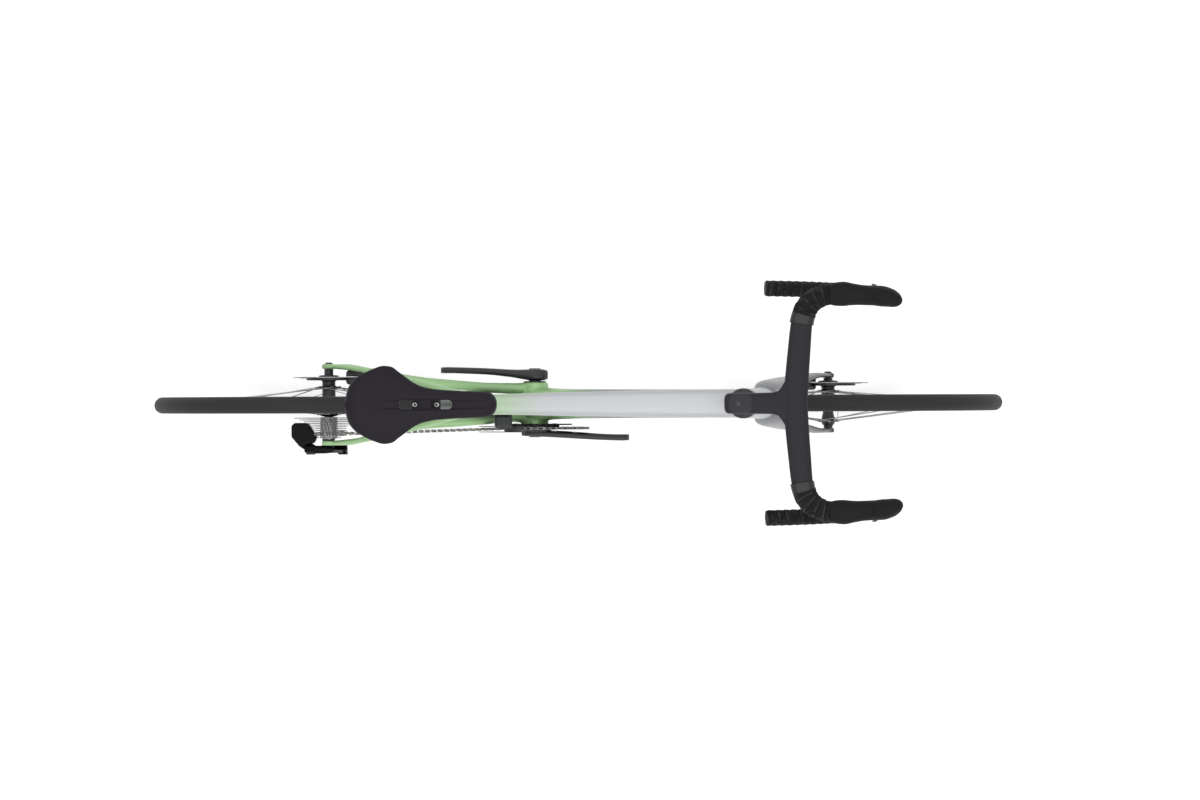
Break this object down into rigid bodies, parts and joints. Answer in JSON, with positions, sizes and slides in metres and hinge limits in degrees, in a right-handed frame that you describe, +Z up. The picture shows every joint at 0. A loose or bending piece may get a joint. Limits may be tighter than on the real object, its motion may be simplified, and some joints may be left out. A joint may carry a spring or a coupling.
{
  "type": "road bike",
  "caption": "Drop-bar road bike with disc brakes, one-piece bar and stem, two chainrings and electric derailleurs, without pedals.",
  "frame": {"origin": "on the floor, midway between the ends and the sides of the whole bike", "axes": "+X forward, +Y to the rider's left, +Z up"},
  "size_m": [1.674, 0.4606, 0.9647],
  "materials": {
    "green_paint": "gloss",
    "silver_paint": "gloss, fading from green at the seat tube to silver white and grey",
    "satin_black": "satin",
    "brushed_steel": "brushed",
    "dark_steel": "dark, satin",
    "black_rubber": "matte, moulded",
    "tyre_rubber": "matte",
    "bar_tape": "matte, textured",
    "matte_grey": "matte",
    "saddle_skin": "matte"
  },
  "bodies": {
    "frame": {"front_triangle": "silver_paint", "chainstay_left": "green_paint", "chainstay_right": "green_paint", "seatstay_left": "green_paint", "seatstay_right": "green_paint", "rear_through_axle": "satin_black", "bottom_bracket": "satin_black", "headset_lower_bearing": "brushed_steel", "rear_caliper": "satin_black", "front_derailleur_body": "satin_black", "rear_derailleur_knuckle": "satin_black", "chain": "dark_steel"},
    "seat": {"seatpost": "satin_black", "saddle_clamp": "brushed_steel", "saddle_rails": "brushed_steel", "saddle_shell": "satin_black", "saddle_pad": "saddle_skin"},
    "steering": {"fork": "silver_paint", "handlebar": "matte_grey", "stem_cap": "satin_black", "headset_upper_cover": "satin_black", "bar_tape_left": "bar_tape", "bar_tape_right": "bar_tape", "bar_plug_left": "satin_black", "bar_plug_right": "satin_black", "hood_left": "black_rubber", "hood_right": "black_rubber", "front_caliper": "satin_black", "front_through_axle": "satin_black"},
    "front_wheel": {"front_hub": "satin_black", "front_spokes_left": "dark_steel", "front_spokes_right": "dark_steel", "front_rim": "satin_black", "front_tyre": "tyre_rubber", "front_rotor": "brushed_steel"},
    "rear_wheel": {"rear_hub": "satin_black", "rear_spokes_left": "dark_steel", "rear_spokes_right": "dark_steel", "rear_rim": "satin_black", "rear_tyre": "tyre_rubber", "rear_rotor": "brushed_steel"},
    "cassette": {"cassette": "brushed_steel"},
    "crank": {"crank_arm_right": "satin_black", "crank_arm_left": "satin_black", "chainring_outer": "satin_black", "chainring_inner": "satin_black"},
    "brake_lever_left": {"brake_lever_left": "satin_black"},
    "brake_lever_right": {"brake_lever_right": "satin_black"},
    "shift_paddle_left": {"shift_paddle_left": "satin_black"},
    "shift_paddle_right": {"shift_paddle_right": "satin_black"},
    "front_pad_outer": {"front_pad_outer": "dark_steel"},
    "front_pad_inner": {"front_pad_inner": "dark_steel"},
    "rear_pad_outer": {"rear_pad_outer": "dark_steel"},
    "rear_pad_inner": {"rear_pad_inner": "dark_steel"},
    "front_derailleur_cage": {"front_derailleur_cage": "satin_black"},
    "rear_derailleur_link": {"rear_derailleur_link": "satin_black"},
    "rear_derailleur_lower_knuckle": {"rear_derailleur_lower_knuckle": "satin_black"},
    "rear_derailleur_cage": {"rear_derailleur_cage": "satin_black"},
    "guide_pulley": {"guide_pulley": "satin_black"},
    "tension_pulley": {"tension_pulley": "satin_black"}
  },
  "joints": [
    {"name": "seatpost_height", "type": "slide", "parent": "frame", "child": "seat", "axis": [-0.2756, 0, 0.9613], "range_m": [-0.06, 0.05]},
    {"name": "steering_turn", "type": "hinge", "parent": "frame", "child": "steering", "pos_m": [0.30982, 0, 0.79883], "axis": [-0.2882, 0, 0.9576], "range_deg": [-60, 60]},
    {"name": "front_wheel_spin", "type": "hinge", "parent": "steering", "child": "front_wheel", "pos_m": [0.494, 0, 0.343], "axis": [0, 1, 0], "continuous": true},
    {"name": "rear_wheel_spin", "type": "hinge", "parent": "frame", "child": "rear_wheel", "pos_m": [-0.494, 0, 0.343], "axis": [0, 1, 0], "continuous": true},
    {"name": "crank_spin", "type": "hinge", "parent": "frame", "child": "crank", "pos_m": [-0.08732, 0, 0.271], "axis": [0, 1, 0], "continuous": true, "deforming": ["chain"]},
    {"name": "cassette_spin", "type": "hinge", "parent": "frame", "child": "cassette", "pos_m": [-0.494, 0, 0.343], "axis": [0, 1, 0], "continuous": true},
    {"name": "brake_lever_left_pull", "type": "hinge", "parent": "steering", "child": "brake_lever_left", "pos_m": [0.57596, 0.19, 0.86604], "axis": [0, 1, 0], "range_deg": [0, 18], "stiffness_Nm_per_rad": 0.8, "springref_deg": -17.19},
    {"name": "shift_paddle_left_push", "type": "hinge", "parent": "brake_lever_left", "child": "shift_paddle_left", "pos_m": [0.58047, 0.195, 0.84504], "axis": [0, 0, 1], "range_deg": [0, 10], "stiffness_Nm_per_rad": 0.05, "springref_deg": -17.19},
    {"name": "brake_lever_right_pull", "type": "hinge", "parent": "steering", "child": "brake_lever_right", "pos_m": [0.57596, -0.19, 0.86604], "axis": [0, 1, 0], "range_deg": [0, 18], "stiffness_Nm_per_rad": 0.8, "springref_deg": -17.19},
    {"name": "shift_paddle_right_push", "type": "hinge", "parent": "brake_lever_right", "child": "shift_paddle_right", "pos_m": [0.58047, -0.195, 0.84504], "axis": [0, 0, -1], "range_deg": [0, 10], "stiffness_Nm_per_rad": 0.05, "springref_deg": -17.19},
    {"name": "front_pad_outer_press", "type": "slide", "parent": "steering", "child": "front_pad_outer", "axis": [0, -1, 0], "range_m": [0, 0.0003]},
    {"name": "front_pad_inner_press", "type": "slide", "parent": "steering", "child": "front_pad_inner", "axis": [0, 1, 0], "range_m": [0, 0.0003]},
    {"name": "rear_pad_outer_press", "type": "slide", "parent": "frame", "child": "rear_pad_outer", "axis": [0, -1, 0], "range_m": [0, 0.0003]},
    {"name": "rear_pad_inner_press", "type": "slide", "parent": "frame", "child": "rear_pad_inner", "axis": [0, 1, 0], "range_m": [0, 0.0003]},
    {"name": "front_derailleur_shift", "type": "hinge", "parent": "frame", "child": "front_derailleur_cage", "pos_m": [-0.14632, -0.036, 0.41], "axis": [1, 0, 0], "range_deg": [0, 13]},
    {"name": "rear_derailleur_shift", "type": "hinge", "parent": "frame", "child": "rear_derailleur_link", "pos_m": [-0.532, -0.089, 0.288], "axis": [0, 0.3746, 0.9272], "range_deg": [-6, 33]},
    {"name": "rear_derailleur_level", "type": "hinge", "parent": "rear_derailleur_link", "child": "rear_derailleur_lower_knuckle", "pos_m": [-0.474, -0.089, 0.288], "axis": [0, 0.3746, 0.9272], "range_deg": [-33, 6]},
    {"name": "cage_swing", "type": "hinge", "parent": "rear_derailleur_lower_knuckle", "child": "rear_derailleur_cage", "pos_m": [-0.502, -0.05, 0.248], "axis": [0, 1, 0], "range_deg": [-20, 40], "stiffness_Nm_per_rad": 0.6},
    {"name": "guide_pulley_spin", "type": "hinge", "parent": "rear_derailleur_cage", "child": "guide_pulley", "pos_m": [-0.502, -0.0578, 0.248], "axis": [0, 1, 0], "continuous": true},
    {"name": "tension_pulley_spin", "type": "hinge", "parent": "rear_derailleur_cage", "child": "tension_pulley", "pos_m": [-0.48008, -0.0578, 0.16484], "axis": [0, 1, 0], "continuous": true}
  ],
  "couplings": [
    {"joint": "front_pad_outer_press", "follows": "brake_lever_left_pull", "m_per_rad": 0.00095},
    {"joint": "front_pad_inner_press", "follows": "brake_lever_left_pull", "m_per_rad": 0.00095},
    {"joint": "rear_pad_outer_press", "follows": "brake_lever_right_pull", "m_per_rad": 0.00095},
    {"joint": "rear_pad_inner_press", "follows": "brake_lever_right_pull", "m_per_rad": 0.00095},
    {"joint": "rear_derailleur_level", "follows": "rear_derailleur_shift", "ratio": -1},
    {"joint": "cassette_spin", "follows": "crank_spin", "ratio": 4},
    {"joint": "guide_pulley_spin", "follows": "crank_spin", "ratio": -4.7273},
    {"joint": "tension_pulley_spin", "follows": "crank_spin", "ratio": 4.7273}
  ]
}
